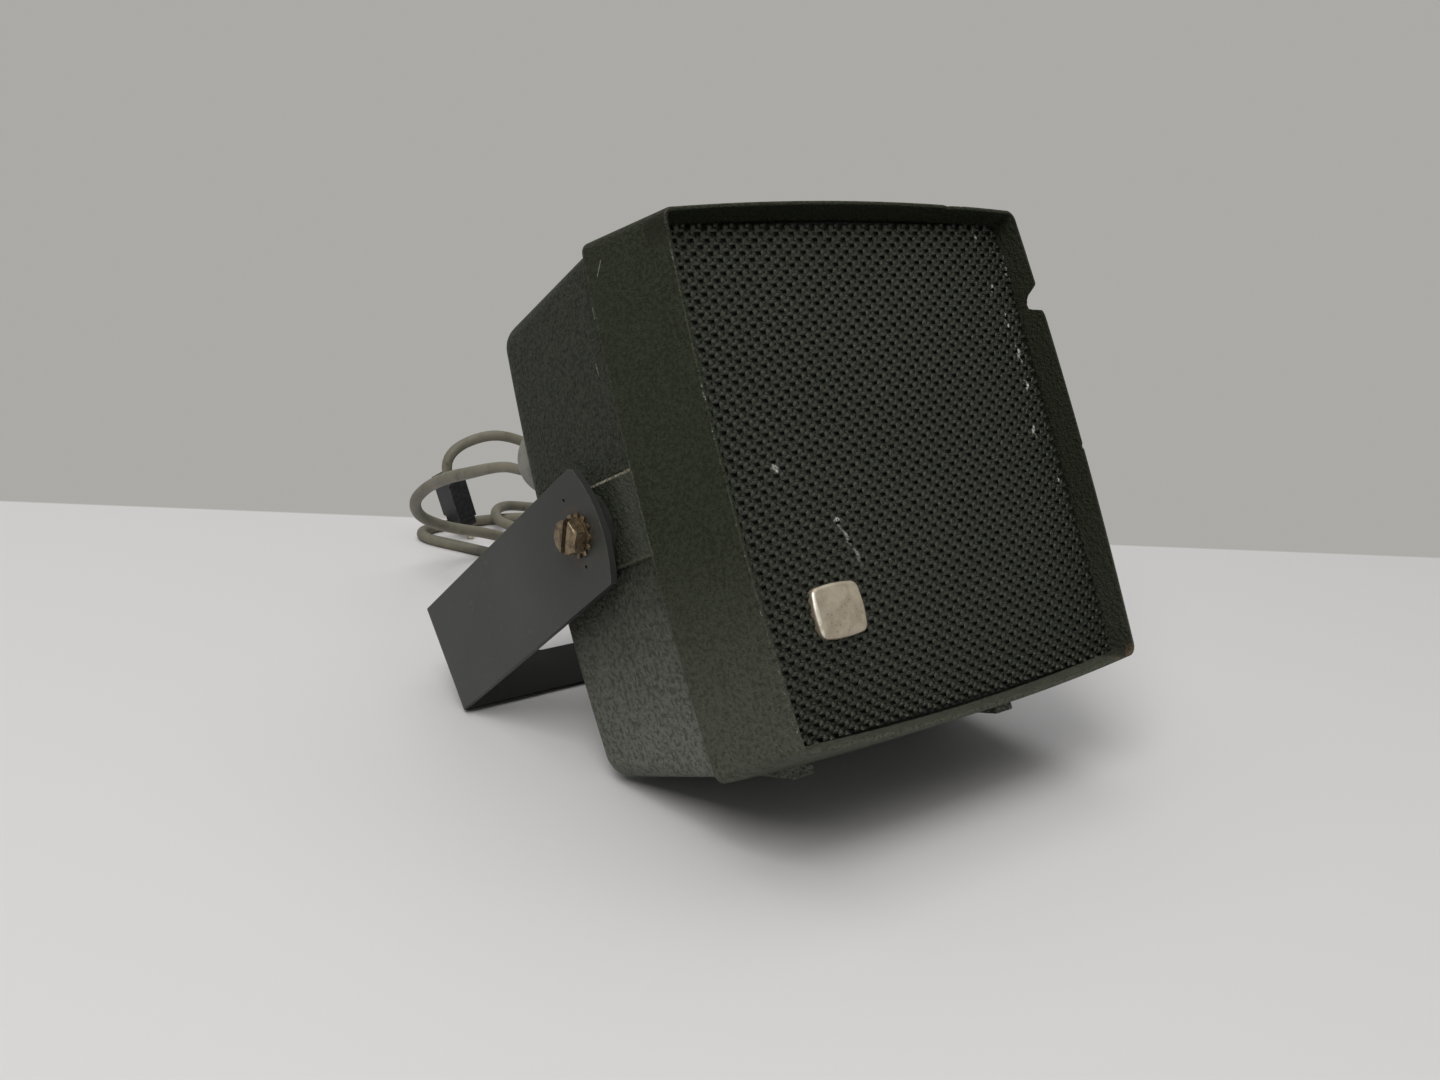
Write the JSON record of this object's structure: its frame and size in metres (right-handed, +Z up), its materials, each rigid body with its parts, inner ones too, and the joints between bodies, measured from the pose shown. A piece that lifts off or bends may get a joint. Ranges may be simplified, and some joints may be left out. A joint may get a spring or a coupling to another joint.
{
  "type": "extension loudspeaker on a swivel bracket",
  "caption": "Small square loudspeaker in a dark moulded case with a black woven grille, leaning back on a U-shaped swivel bracket, with its cord and plug.",
  "frame": {"origin": "on the table, under the middle of the footprint of the leaning case and its bracket, cord and plug left out", "axes": "+X to the right seen from the front, +Y from the grille towards the back, +Z up; the front faces -Y and up by 30 degrees"},
  "size_m": [0.1923, 0.2737, 0.1401],
  "materials": {
    "case_plastic": "fine-grained dark grey-green moulding",
    "grained_plastic": "leather-grained dark grey-green moulding",
    "grille_weave": "coarse black plain weave with a slight shine",
    "black_sheet": "black paint",
    "badge_metal": "aged satin metal with rubbed edges",
    "card": "plain brown card",
    "plated_steel": "dull zinc plating",
    "treated_cloth": "stiffened cloth",
    "cone_paper": "dark felted paper",
    "copper_wire": "enamelled copper",
    "ferrite": "dark grey sintered ferrite",
    "brass_parts": "turned brass",
    "lead_sleeve": "plastic-covered lead",
    "black_disc": "black fibre",
    "bracket_paint": "satin dark grey paint with fine edge wear",
    "bronzed_zinc": "tarnished yellow plating on steel",
    "relief_grey": "pale grey moulded plastic",
    "cord_sheath": "soiled olive-grey sheath",
    "plug_black": "black moulded plastic"
  },
  "bodies": {
    "speaker": {"front_shell": "case_plastic", "rear_shell": "grained_plastic", "grille_cloth": "grille_weave", "grille_sheet": "black_sheet", "badge": "badge_metal", "driver_gasket": "card", "driver_basket": "plated_steel", "cone_surround": "treated_cloth", "spider": "treated_cloth", "top_plate": "plated_steel", "magnet_ring": "ferrite", "back_plate": "plated_steel", "terminal_strip": "card", "terminal_tags": "brass_parts", "pigtail_leads": "copper_wire", "inner_leads": "lead_sleeve", "driver_screws": "plated_steel", "case_screws": "plated_steel", "pivot_inserts": "brass_parts", "spacer_discs": "black_disc", "tooth_washers": "bronzed_zinc", "pivot_bolts": "bronzed_zinc", "strain_relief": "relief_grey", "cord_to_coil": "cord_sheath", "cord_coil": "cord_sheath", "cord_to_plug": "cord_sheath", "plug_body": "plug_black", "plug_pins": "plated_steel"},
    "stirrup": {"bracket": "bracket_paint"},
    "cone_assembly": {"cone": "cone_paper", "dust_cap": "cone_paper", "voice_coil_former": "card", "voice_coil_winding": "copper_wire"}
  },
  "joints": [
    {"name": "bracket_swing", "type": "hinge", "parent": "speaker", "child": "stirrup", "pos_m": [0, 0.00417, 0.06223], "axis": [1, 0, 0], "range_deg": [-95, 23]},
    {"name": "cone_travel", "type": "slide", "parent": "speaker", "child": "cone_assembly", "axis": [0, 0.8649, -0.502], "range_m": [-0.001, 0.001], "stiffness_N_per_m": 800, "deforming": ["cone_surround", "spider", "pigtail_leads"]}
  ]
}
